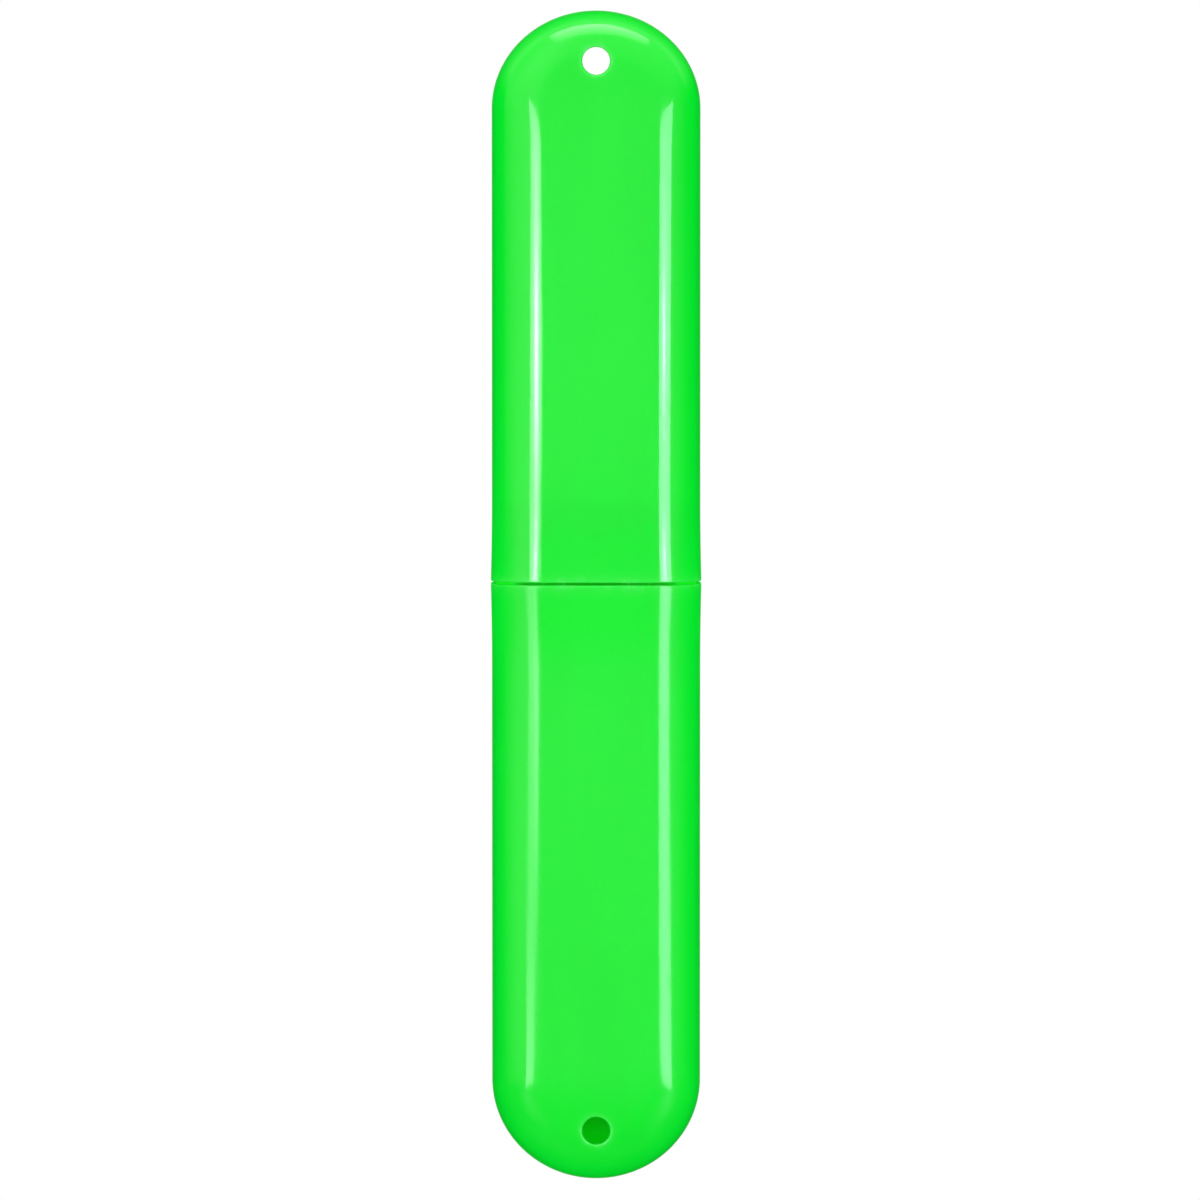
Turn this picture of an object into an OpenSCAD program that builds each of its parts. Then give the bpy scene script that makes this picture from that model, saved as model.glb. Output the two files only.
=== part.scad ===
// Travel toothbrush case: a hollow body with a neck, and a cap that slides over the neck.
// The closed case lies on its flat back. X is its width, Y its length with the cap at +Y,
// Z its thickness, and the origin is under the middle of the back. Lengths are in millimetres.

/* [Case] */
// Length of the closed case from tip to tip
case_length = 205; // [190:1:225]
// Width across the straight sides
case_width = 36.5; // [32:0.5:42]
// Thickness from the back to the front
case_thickness = 20.5; // [18:0.5:25]
// Length of the body from its tip to its shoulder, without the neck
body_length = 104.8; // [92:0.1:112]
// Wall of both halves
wall = 1.5; // [1.3:0.05:1.9]
// Extra wall that the draft of the mould core leaves at the closed end
core_draft = 0.2; // [0:0.05:0.5]

/* [Long edges] */
// Width of the rounded long edge, seen from the front
edge_width = 9; // [6:0.25:12]
// Height of the rounded long edge, seen from the end
edge_height = 8; // [5:0.25:9]

/* [Closed ends] */
// Length over which the outline of the cap curves in to its tip, a quarter of an ellipse on each side
cap_arc = 17.1; // [14:0.1:22]
// Length over which the outline of the body curves in to its tip, a quarter of an ellipse on each side
body_arc = 17.7; // [14:0.1:22]
// Length over which the front of the cap falls towards its tip
cap_fall_length = 24; // [22:0.5:30]
// How far the front of the cap has fallen at its tip
cap_fall = 1.6; // [0.5:0.1:3]
// Length over which the front of the body falls towards its tip
body_fall_length = 22; // [22:0.5:30]
// How far the front of the body has fallen at its tip
body_fall = 1.2; // [0.5:0.1:3]

/* [Neck and mouth] */
// Length of the neck above the shoulder of the body
neck_length = 14; // [10:0.5:18]
// Step from the straight skin of the case in to the neck
neck_step = 0.7; // [0.6:0.05:0.8]
// Gap all round between the neck and the mouth of the cap
neck_clearance = 0.15; // [0.1:0.01:0.2]
// Gap between the end of the neck and the step inside the cap
neck_end_gap = 0.4; // [0.3:0.05:1]
// Length of the tapered lead at the end of the neck
lead_length = 1.2; // [0.8:0.1:2]
// Depth of the tapered lead at the end of the neck
lead_depth = 0.3; // [0.1:0.05:0.4]
// Gap that shows between the cap and the shoulder when the case is closed
seam_gap = 0.45; // [0.3:0.05:0.8]
// How far both rims flare out at the seam
rim_flare = 0.2; // [0.1:0.05:0.4]
// Length over which a rim flares
flare_length = 15; // [10:0.5:20]
// Radius that breaks the outer edge of both rims
rim_round = 0.2; // [0.1:0.05:0.4]

/* [Grip ribs] */
// Number of grip ribs on each face of the neck
rib_count = 4; // [2:2:4]
// Width of the plain land between the two middle ribs, from centre to centre
rib_land = 11.4; // [8:0.2:12]
// Distance between neighbouring ribs on one side of the land
rib_pitch = 3.5; // [2:0.1:3.8]
// Width of a rib
rib_width = 0.8; // [0.5:0.1:1.2]
// Height of a rib above the neck
rib_height = 0.08; // [0.05:0.01:0.1]
// Length of the ramp at the free end of a rib
rib_ramp = 2; // [1:0.1:3]

/* [Vent holes] */
// Diameter of the vent holes
vent_d = 4.85; // [3:0.05:6]
// Distance of the hole through both walls of the cap from the tip of the cap
cap_vent_inset = 8.8; // [7:0.1:14]
// Distance of the hole in the front wall of the body from the tip of the body
body_vent_inset = 9.2; // [7:0.1:14]

/* [Hidden] */
case_green = [0.17, 0.92, 0.26];
// Overrun of every cut past the face that it opens
overrun = 1;
// Counts of steps on half a face, round a long edge, round a closed end, along a falling front,
// along a flare and round a rim edge
face_steps = 3;
edge_steps = 12;
end_steps = 24;
fall_steps = 3;
flare_steps = 4;
rim_steps = 3;
vent_steps = 64;
cap_length = case_length - body_length - seam_gap;
shoulder_y = body_length - case_length / 2;
cap_rim_y = shoulder_y + seam_gap;
mouth_step = neck_step - neck_clearance;
mouth_depth = neck_length - seam_gap + neck_end_gap;

// Each half is described by [length from rim to tip, arc, fall length, fall]
body_shape = [body_length, body_arc, body_fall_length, body_fall];
cap_shape = [cap_length, cap_arc, cap_fall_length, cap_fall];

// Both halves are shells, made with the tip at +Y. u is the distance from the rim towards the tip.
// Along the straight part a skin is a row of rings, and round the closed end its section is swept
// along the outline. The inset of a skin is how far it lies inside the outer skin.

// Where the closed end starts
function end_u(shape) = shape[0] - shape[1];

// Share of its height that a half keeps at u, where its front falls towards the tip as a parabola
function kept(u, shape) =
    1 - shape[3] / case_thickness * pow(max(0, (u - shape[0]) / shape[2] + 1), 2);

// Half of a section from the middle of the front round the +X side to the middle of the back, as
// [x on the straight part, reach round the closed end, z]
function half_section(shape, inset, grow = 0) =
    let (
        round_w = edge_width - inset,
        round_h = edge_height - inset,
        flat_x = case_width / 2 - inset - round_w + grow,
        flat_reach = shape[1] - inset - round_w,
        flat_z = case_thickness / 2 - inset - round_h,
        front = [for (step = [0 : face_steps - 1]) [step / face_steps, 1, 90]],
        front_edge = [for (step = [0 : edge_steps]) [1, 1, 90 * (1 - step / edge_steps)]],
        back_edge = [for (step = [0 : edge_steps]) [1, -1, -90 * step / edge_steps]],
        back = [for (step = [face_steps - 1 : -1 : 0]) [step / face_steps, -1, -90]]
    )
    [
        for (p = concat(front, front_edge, back_edge, back))
            [
                p[0] * flat_x + round_w * cos(p[2]),
                p[0] * flat_reach + round_w * cos(p[2]),
                case_thickness / 2 + p[1] * flat_z + round_h * sin(p[2]) + (p[1] > 0 ? grow : 0)
            ]
    ];

// The whole section as a ring at u: down the +X side, then up the -X side
function ring(u, shape, inset, grow = 0) =
    let (
        half = half_section(shape, inset, grow),
        keep = kept(u, shape)
    )
    [
        for (p = half) [p[0], u, p[2] * keep],
        for (i = [len(half) - 2 : -1 : 1]) [-half[i][0], u, half[i][2] * keep]
    ];

// Points between both sides of the closed end: the section swept round half an ellipse
function end_points(shape, inset) =
    let (
        half = half_section(shape, inset),
        last = len(half) - 1
    )
    [
        for (k = [1 : end_steps - 1], j = [1 : last - 1])
            let (
                turn = 180 * k / end_steps,
                u = end_u(shape) + half[j][1] * sin(turn)
            )
            [half[j][0] * cos(turn), u, half[j][2] * kept(u, shape)]
    ];

// How far a rim has flared at u
function flare(u) = rim_flare * pow(max(0, 1 - u / flare_length), 2);

// Distances from the rim of the rings that follow the falling front, from the closed end back
function fall_places(shape) =
    [for (i = [0 : fall_steps]) end_u(shape) - i * (shape[2] - shape[1]) / fall_steps];

// The outer skin from the closed end to the rim, with the flare and the broken edge
function outer_rings(shape) =
    [
        for (u = fall_places(shape)) ring(u, shape, 0),
        for (i = [0 : flare_steps - 1])
            let (u = flare_length - i * (flare_length - rim_round) / flare_steps)
            ring(u, shape, 0, flare(u)),
        for (i = [0 : rim_steps])
            let (
                turn = 90 * i / rim_steps,
                u = rim_round * (1 - sin(turn))
            )
            ring(u, shape, 0, flare(u) - rim_round * (1 - cos(turn)))
    ];

// The inner skin from its open end at u = start to the closed end, drafted by the core
function inner_rings(shape, start) =
    let (places = fall_places(shape))
    [
        ring(start, shape, wall),
        for (i = [fall_steps : -1 : 0]) ring(places[i], shape, wall + core_draft)
    ];

// Place of point j of the half section, k steps round a closed end, in the list of all points
function end_place(j, k, first_ring, first_end) =
    let (last = 2 * (face_steps + edge_steps) + 1)
    j == 0 || j == last || k == 0 ? first_ring + j :
    k == end_steps ? first_ring + 2 * last - j :
    first_end + (k - 1) * (last - 1) + j - 1;

// Faces of a closed end, seen from outside, or from inside when it is the inner skin's
function end_faces(first_ring, first_end, inside) =
    let (
        last = 2 * (face_steps + edge_steps) + 1,
        seen = [
            for (j = [0 : last - 1], k = [0 : end_steps - 1])
                let (
                    a = end_place(j, k, first_ring, first_end),
                    b = end_place(j, k + 1, first_ring, first_end),
                    c = end_place(j + 1, k + 1, first_ring, first_end),
                    d = end_place(j + 1, k, first_ring, first_end)
                )
                each [
                    if (j > 0) [a, b, c],
                    if (j < last - 1) [a, c, d],
                ]
        ]
    )
    inside ? [for (f = seen) [f[0], f[2], f[1]]] : seen;

// A closed shell whose rings run over the outer skin, the rim and back along the inner skin
module shell(rings, shape) {
    sides = len(rings[0]);
    count = len(rings);
    outer_end = count * sides;
    inner_end = outer_end + (end_steps - 1) * (sides / 2 - 1);
    polyhedron(
        points = [
            for (loop = rings, point = loop) point,
            each end_points(shape, 0),
            each end_points(shape, wall + core_draft)
        ],
        faces = [
            for (i = [0 : count - 2], j = [0 : sides - 1])
                let (
                    near = i * sides + j,
                    near_next = i * sides + (j + 1) % sides
                )
                each [
                    [near, near_next, near_next + sides],
                    [near, near_next + sides, near + sides]
                ],
            each end_faces(0, outer_end, false),
            each end_faces((count - 1) * sides, inner_end, true)
        ],
        convexity = 6
    );
}

// A vent hole along Z, from z = start up past the front face
module vent(inset_from_tip, reach, start) {
    translate([0, reach - inset_from_tip, start])
        cylinder(d = vent_d, h = case_thickness + overrun - start, $fn = vent_steps);
}

// One grip rib: a low bar with a ramp at its free end, from the shoulder up the neck
module grip_rib() {
    root = (wall - neck_step) / 2;
    top = neck_length - lead_length;
    translate([-rib_width / 2, 0, 0])
        rotate([90, 0, 90])
            linear_extrude(height = rib_width)
                polygon([
                    [top, -root],
                    [top, 0],
                    [top - rib_ramp, rib_height],
                    [-rim_round, rib_height],
                    [-rim_round, -root]
                ]);
}

// The grip ribs of one face, in two groups beside a plain land
module grip_ribs() {
    for (side = [-1, 1], i = [0 : rib_count / 2 - 1])
        translate([side * (rib_land / 2 + i * rib_pitch), 0, 0])
            grip_rib();
}

// The lower half, which carries the neck. It is made with its tip at +Y and then turned round.
module case_body() {
    neck_rings = [
        ring(0, body_shape, neck_step),
        ring(lead_length - neck_length, body_shape, neck_step),
        ring(-neck_length, body_shape, neck_step + lead_depth)
    ];
    rings = concat(outer_rings(body_shape), neck_rings, inner_rings(body_shape, -neck_length));
    color(case_green)
        translate([0, shoulder_y, 0])
            union() {
                rotate([0, 0, 180])
                    difference() {
                        shell(rings, body_shape);
                        vent(body_vent_inset, body_length, case_thickness / 2);
                    }
                translate([0, 0, case_thickness - neck_step])
                    grip_ribs();
                translate([0, 0, neck_step])
                    mirror([0, 0, 1])
                        grip_ribs();
            }
}

// The upper half, whose mouth takes the neck
module case_cap() {
    mouth_rings = [
        ring(0, cap_shape, mouth_step),
        ring(mouth_depth, cap_shape, mouth_step)
    ];
    rings = concat(outer_rings(cap_shape), mouth_rings, inner_rings(cap_shape, mouth_depth));
    color(case_green)
        translate([0, cap_rim_y, 0])
            difference() {
                shell(rings, cap_shape);
                vent(cap_vent_inset, cap_length, -overrun);
            }
}

case_body();
case_cap();
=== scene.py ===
import math

import bmesh
import bpy
import numpy as np
from mathutils import Matrix, Vector


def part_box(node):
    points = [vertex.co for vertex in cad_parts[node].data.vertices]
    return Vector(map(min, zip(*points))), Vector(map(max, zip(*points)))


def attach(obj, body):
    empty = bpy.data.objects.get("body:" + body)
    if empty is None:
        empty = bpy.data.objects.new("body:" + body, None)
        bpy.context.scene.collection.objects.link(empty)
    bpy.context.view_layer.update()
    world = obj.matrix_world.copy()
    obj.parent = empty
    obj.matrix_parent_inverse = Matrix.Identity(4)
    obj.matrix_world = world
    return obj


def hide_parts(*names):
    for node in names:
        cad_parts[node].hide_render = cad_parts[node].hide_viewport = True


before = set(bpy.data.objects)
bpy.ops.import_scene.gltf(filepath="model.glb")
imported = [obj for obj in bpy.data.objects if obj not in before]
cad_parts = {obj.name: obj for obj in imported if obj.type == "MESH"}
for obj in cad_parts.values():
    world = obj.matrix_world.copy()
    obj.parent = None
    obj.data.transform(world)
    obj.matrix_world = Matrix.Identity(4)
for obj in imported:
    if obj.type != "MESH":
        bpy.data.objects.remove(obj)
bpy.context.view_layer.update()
print("frame loaded")

mm = 0.001

# The sizes that both halves share, as in the solids
caseSizes = {
    "width": 36.5 * mm,
    "thickness": 20.5 * mm,
    "wall": 1.5 * mm,
    "coreDraft": 0.2 * mm,
    "edgeWidth": 9 * mm,
    "edgeHeight": 8 * mm,
    "neckStep": 0.7 * mm,
    "neckClearance": 0.15 * mm,
    "rimFlare": 0.2 * mm,
    "flareLength": 15 * mm,
    "rimRound": 0.22 * mm,
    "smallRound": 0.12 * mm,   # inner corners and the ends of thin walls
    "ventDiameter": 4.85 * mm,
    "ventRound": 0.5 * mm,     # rounded rim of a vent hole
    "seamGap": 0.45 * mm,
}

# How finely the surfaces are worked out
gridSizes = {
    "edgeSteps": 36,
    "faceSteps": 20,
    "sideSteps": 8,
    "endSteps": 96,
    "straightRows": 40,
    "flareSteps": 20,
    "roundSteps": 6,
    "footRows": 8,
    "neckRows": 5,
    "mouthRows": 6,
    "boreSteps": 4,
    "ventRings": 8,
    "ventPull": 0.8,     # below 1, the rings of a vent's patch lie closer together near the hole
    "ventTurn": 14,      # steps of the closed end on each side of a vent hole that its patch takes
    "ventFrom": 0.5,     # where the patch starts on the flat, as a share of its reach
    "ventTo": 0.55,      # and where it ends on the rounded edge
    "halvings": 40,      # of the search for a point of the closed end
    "little": 0.1 * mm,  # the step over which a skin's slope is taken
}

gripRibs = {
    "places": (-9.2 * mm, -5.7 * mm, 5.7 * mm, 9.2 * mm),
    "width": 0.8 * mm,
    "height": 0.08 * mm,
    "root": 0.4 * mm,
    "ramp": 2 * mm,
    "stations": 25,
    "sides": 20,
}

bodyLow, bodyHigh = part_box("case_body")
capLow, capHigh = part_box("case_cap")
halfThickness = caseSizes["thickness"] / 2


# How the skins of both halves run

def halfSection():
    # Half of a section, from the middle of the front round one side to the middle of the back: flat,
    # rounded edge, side flat, rounded edge, flat. a and b say where the edge's centre sits, as shares of the
    # flats, and c and s are the sine and cosine of the turn on the rounded edge: how far a point is out to
    # the side, and up.
    keys = ("edgeSteps", "faceSteps", "sideSteps")
    edge, face, side = (np.linspace(0, 1, gridSizes[key] + 1) for key in keys)
    turn = edge * math.pi / 2
    a = np.concatenate([face[:-1], 1 + 0 * edge, 1 + 0 * side[1:-1], 1 + 0 * edge, face[-2::-1]])
    b = np.concatenate([
        1 + 0 * face[:-1], 1 + 0 * edge, 1 - 2 * side[1:-1], 0 * edge - 1, 0 * face[:-1] - 1,
    ])
    c = np.concatenate([0 * face[:-1], np.sin(turn), 1 + 0 * side[1:-1], np.cos(turn), 0 * face[:-1]])
    s = np.concatenate([1 + 0 * face[:-1], np.cos(turn), 0 * side[1:-1], -np.sin(turn), 0 * face[:-1] - 1])
    return a, b, c, s


aHalf, bHalf, cHalf, sHalf = halfSection()
lastHalf = len(aHalf) - 1
columnCount = 2 * lastHalf


def flareAt(u):
    # How far a rim stands out at u: a parabola that dies away over the flare's length
    return caseSizes["rimFlare"] * np.clip(1 - u / caseSizes["flareLength"], 0, 1) ** 2


def keptAt(u, half):
    # Share of its height that a half keeps at u, where its front falls towards the tip as a parabola
    along = np.clip((u - half["length"]) / half["fallLength"] + 1, 0, None)
    return 1 - half["fall"] / caseSizes["thickness"] * along ** 2


def sectionAt(inset, grow, half):
    # The half section of a skin: x = a (half width - edge) + c edge, the reach round the end in the same
    # way, and z = b (half height - edge) + s edge, moved in by the inset and out by the growth, which the
    # back doesn't have
    edgeWidth, edgeHeight = caseSizes["edgeWidth"] - inset, caseSizes["edgeHeight"] - inset
    x = aHalf * (caseSizes["width"] / 2 - inset + grow - edgeWidth) + cHalf * edgeWidth
    reach = aHalf * (half["arc"] - inset - edgeWidth) + cHalf * edgeWidth
    z = halfThickness + bHalf * (halfThickness - inset - edgeHeight) + sHalf * edgeHeight
    return x, reach, z + grow * (1 + bHalf) / 2


def loft(rows, half):
    # Rings along the straight part, each down one side and up the other
    u, inset, grow = rows[:, :, None]
    x, reach, z = sectionAt(inset, grow, half)
    x = np.concatenate([x, -x[:, -2:0:-1]], axis=1)
    z = np.concatenate([z, z[:, -2:0:-1]], axis=1) * keptAt(u, half)
    return np.stack([x, half["rim"] + half["way"] * u + 0 * x, z], axis=-1)


def closedEnd(inset, half):
    # The half section swept round the end: every point runs over half an ellipse, x cos(t) and reach sin(t)
    t = np.linspace(0, math.pi, gridSizes["endSteps"] + 1)[1:-1, None]
    x, reach, z = (values[1:-1] for values in sectionAt(inset, 0.0, half))
    u = half["length"] - half["arc"] + reach * np.sin(t)
    return np.stack([x * np.cos(t), half["rim"] + half["way"] * u, z * keptAt(u, half)], axis=-1)


def rowsOf(u, inset, grow=0):
    # Rings as three arrays: distance from the rim, inset and growth
    u, inset, grow = np.broadcast_arrays(np.asarray(u, float), inset, grow)
    return np.stack([u, inset, grow])


def quarter():
    # Angles of a quarter round, from 0 to 90 degrees
    return np.linspace(0, math.pi / 2, gridSizes["roundSteps"] + 1)


def outerSkin(half):
    # From the closed end to the rim: the straight length, the flare, whose rows stop half a radius short of
    # the round, and the quarter round of the rim, u = r (1 - sin) and inset = r (1 - cos)
    r = caseSizes["rimRound"]
    straight = np.linspace(half["length"] - half["arc"], caseSizes["flareLength"], gridSizes["straightRows"])
    flare = np.linspace(caseSizes["flareLength"], r * 1.5, gridSizes["flareSteps"] + 1)[1:]
    turn = quarter()
    edgeU = r * (1 - np.sin(turn))
    edge = rowsOf(edgeU, r * (1 - np.cos(turn)), flareAt(edgeU))
    return np.concatenate([rowsOf(straight, 0), rowsOf(flare, 0, flareAt(flare)), edge], axis=1)


def innerSkin(half, start):
    # From the open end to the closed end, with the wall thickened by the draft of the core
    along = np.linspace(0, 1, gridSizes["straightRows"])[1:]
    end = half["length"] - half["arc"]
    return rowsOf(start + (end - start) * along, caseSizes["wall"] + caseSizes["coreDraft"] * along)


def gridFaces(rowCount):
    # Quads between neighbouring rings, with the row of each
    row, column = np.meshgrid(np.arange(rowCount - 1), np.arange(columnCount), indexing="ij")
    row, column = row.ravel(), column.ravel()
    beside = (column + 1) % columnCount
    here, there = row * columnCount, (row + 1) * columnCount
    return np.stack([here + column, here + beside, there + beside, there + column], axis=1), row


def endIds(firstRing, firstEnd):
    # Vertex numbers of a closed end, point of the half section by step of the sweep. Its first and last
    # steps are the two sides of the ring that it starts from, and the middles of front and back are one
    # point each.
    j, k = np.arange(lastHalf + 1), np.arange(gridSizes["endSteps"] + 1)
    ids = firstEnd + (k[None, :] - 1) * (lastHalf - 1) + j[:, None] - 1
    ids[:, 0] = firstRing + j
    ids[:, -1] = firstRing + (columnCount - j) % columnCount
    ids[0, :] = firstRing
    ids[-1, :] = firstRing + lastHalf
    return ids


def endFaces(ids, skip):
    # Quads of a closed end without the blocks that a vent hole replaces, and a fan round each middle
    keep = np.ones((lastHalf, gridSizes["endSteps"]), bool)
    keep[[0, -1]] = False
    for jFrom, jTo, kFrom, kTo in skip:
        keep[jFrom:jTo, kFrom:kTo] = False
    quads = np.stack([ids[:-1, :-1], ids[1:, :-1], ids[1:, 1:], ids[:-1, 1:]], axis=-1)[keep]
    front = np.stack([ids[0, :-1], ids[1, :-1], ids[1, 1:]], axis=1)
    back = np.stack([ids[-1, :-1], ids[-2, 1:], ids[-2, :-1]], axis=1)
    return quads, np.concatenate([front, back])


def skinHeight(x, y, inset, half, face):
    # Height of the front (face 1) or back (face -1) skin of a closed end above x, y. The point lies on an
    # ellipse of half axes flat + c edge. Halving finds c, and the height follows as sqrt(1 - c^2) edge.
    edgeWidth, edgeHeight = caseSizes["edgeWidth"] - inset, caseSizes["edgeHeight"] - inset
    flatX = caseSizes["width"] / 2 - inset - edgeWidth
    flatY = half["arc"] - inset - edgeWidth
    u = (y - half["rim"]) * half["way"]
    up = u - half["length"] + half["arc"]
    low, high = 0 * x, 1 + 0 * x
    for _ in range(gridSizes["halvings"]):
        c = (low + high) / 2
        outside = (x / (flatX + c * edgeWidth)) ** 2 + (up / (flatY + c * edgeWidth)) ** 2 > 1
        low, high = np.where(outside, c, low), np.where(outside, high, c)
    height = halfThickness - inset - edgeHeight + np.sqrt(1 - low ** 2) * edgeHeight
    return (halfThickness + face * height) * keptAt(u, half)


def ventRings(outerBorder, innerBorder, half, face):
    # Loops that run from the outer skin over the rounded rim, down the bore and out over the inner skin.
    # On a skin a loop is a share of the way from the block's border to the rim, laid on the skin's height.
    centre = np.array([0.0, half["rim"] + half["way"] * (half["length"] - half["ventInset"])])
    radius, rounding = caseSizes["ventDiameter"] / 2, caseSizes["ventRound"]
    angle = np.arctan2(outerBorder[:, 1] - centre[1], outerBorder[:, 0])
    out = np.stack([np.cos(angle), np.sin(angle)], axis=1)
    innerInset = caseSizes["wall"] + caseSizes["coreDraft"]
    rimFlat, wallFlat = centre + out * (radius + rounding), centre + out * radius
    little = gridSizes["little"]
    sides = []
    for border, inset, depth in ((outerBorder, 0.0, -face), (innerBorder, innerInset, face)):
        share = np.linspace(0, 1, gridSizes["ventRings"] + 1)[1:] ** gridSizes["ventPull"]
        flat = border[:, :2] + (rimFlat - border[:, :2]) * share[:, None, None]
        top = skinHeight(flat[..., 0], flat[..., 1], inset, half, face)
        skin = np.concatenate([flat, top[..., None]], axis=2)
        # The rounding is a quadratic curve, tangent to the skin at one end and to the bore at the other
        rimTop = skinHeight(rimFlat[:, 0], rimFlat[:, 1], inset, half, face)
        nearer = rimFlat - out * little
        slope = (rimTop - skinHeight(nearer[:, 0], nearer[:, 1], inset, half, face)) / little
        knee = rimTop - slope * rounding
        t = np.linspace(0, 1, gridSizes["roundSteps"] + 1)[1:, None]
        zRound = (1 - t) ** 2 * rimTop + 2 * t * (1 - t) * knee + t ** 2 * (knee + depth * rounding)
        flatRound = (1 - t[..., None]) ** 2 * rimFlat + (1 - (1 - t[..., None]) ** 2) * wallFlat
        sides.append(np.concatenate([skin, np.concatenate([flatRound, zRound[..., None]], axis=2)]))
    outer, inner = sides
    down = np.linspace(0, 1, gridSizes["boreSteps"] + 1)[1:-1, None, None]
    middle = outer[-1:] + (inner[-1:] - outer[-1:]) * down
    return np.concatenate([outer, middle, inner[::-1]])


def stripFaces(loops):
    # Quads between neighbouring closed loops of vertices
    faces = []
    for here, there in zip(loops[:-1], loops[1:]):
        faces.append(np.stack([here, np.roll(here, -1), np.roll(there, -1), there], axis=1))
    return np.concatenate(faces)


def borderOf(ids, block):
    # Vertex numbers once round a block of the closed end
    jFrom, jTo, kFrom, kTo = block
    return np.concatenate([
        ids[jFrom, kFrom:kTo], ids[jFrom:jTo, kTo], ids[jTo, kTo:kFrom:-1], ids[jTo:jFrom:-1, kFrom],
    ])


def ventBlocks(half):
    # The block of each vent hole: a few steps on each side of the tip, from the flat to the rounded edge
    middle, turn = gridSizes["endSteps"] // 2, gridSizes["ventTurn"]
    inPatch = (aHalf >= gridSizes["ventFrom"]) & (cHalf <= gridSizes["ventTo"])
    blocks = []
    for face in half["ventFaces"]:
        j = np.flatnonzero(inPatch & (bHalf == face))
        blocks.append((face, (j[0], j[-1], middle - turn, middle + turn)))
    return blocks


def shellSurface(skin, slide, core, half):
    # One half as a closed surface: rings from the outer end over the rim to the inner end, both closed
    # ends, and the vents. Faces come with a zone: 0 on the outer skin, 1 on the neck or the mouth, 2 inside.
    rows = np.concatenate([skin, slide, core], axis=1)
    rowZone = np.repeat([0, 1, 2], [skin.shape[1], slide.shape[1], core.shape[1]])
    inset = caseSizes["wall"] + caseSizes["coreDraft"]
    rings = loft(rows, half).reshape(-1, 3)
    outerEnd, innerEnd = closedEnd(0.0, half).reshape(-1, 3), closedEnd(inset, half).reshape(-1, 3)
    outerIds = endIds(0, len(rings))
    innerIds = endIds(len(rings) - columnCount, len(rings) + len(outerEnd))
    points = np.concatenate([rings, outerEnd, innerEnd])
    quads, row = gridFaces(rows.shape[1])
    faces, zones = [quads], [rowZone[row]]
    blocks = ventBlocks(half)
    for ids, zone in ((outerIds, 0), (innerIds, 2)):
        quads, fans = endFaces(ids, [block for face, block in blocks])
        faces += [quads, fans]
        zones += [np.full(len(quads), zone), np.full(len(fans), zone)]
    innerSteps = gridSizes["ventRings"] + gridSizes["roundSteps"]
    for face, block in blocks:
        outerLoop, innerLoop = borderOf(outerIds, block), borderOf(innerIds, block)
        loops = ventRings(points[outerLoop], points[innerLoop], half, face)
        ids = len(points) + np.arange(loops.shape[0] * loops.shape[1]).reshape(loops.shape[:2])
        faces.append(stripFaces([outerLoop, *ids, innerLoop]))
        zoneOf = np.repeat([0, 2], [len(ids) + 1 - innerSteps, innerSteps])
        zones.append(np.repeat(zoneOf, len(outerLoop)))
        points = np.concatenate([points, loops.reshape(-1, 3)])
    return points, faces, np.concatenate(zones)


# How far wear and the painted light and shade reach over a half. Places across it are distances from its
# middle.
wearAndPaintedLightReach = {
    "rim": 0.7 * mm,                   # the pale rim, partly worn and partly a painted highlight
    "rimThins": (6 * mm, 20 * mm),     # where it thins out, and to what share
    "rimThinned": 0.3,
    "vent": 0.35 * mm,                 # the pale rim of a hole, partly worn and partly a painted highlight
    "rub": 14 * mm,                    # dulling beside the seam
    "rubStrength": 1.25,
    "rubFades": 2 * mm,                # from the flat onto the rounded edge
    "sideFrom": (13.5 * mm, 15.5 * mm),
    "sideStrength": 0.8,
    "seam": (0.55 * mm, 0.75 * mm),    # where the open seam's painted shade ends on the neck
    "seamPales": (2 * mm, 7 * mm),     # its two steps across, and their shares
    "seamSides": (12 * mm, 14.5 * mm),
    "paleShares": (0.45, 0.55),
    "rib": 0.35 * mm,                  # and a rib's
    "ribPales": 0.75,
    "ribLight": 0.35,
    "sideLight": 0.8,                  # painted glow for light that comes through at the sides of the seam
    "insideLight": 0.28,               # and inside, with more at the tip, by distance from it
    "tipLight": 0.4,
    "tipSpan": (8.8 * mm, 6.9 * mm),
}


def ramp(value, span):
    # A straight rise from 0 at the span's first value to 1 at its second
    return np.clip((value - span[0]) / (span[1] - span[0]), 0, 1)


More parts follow.
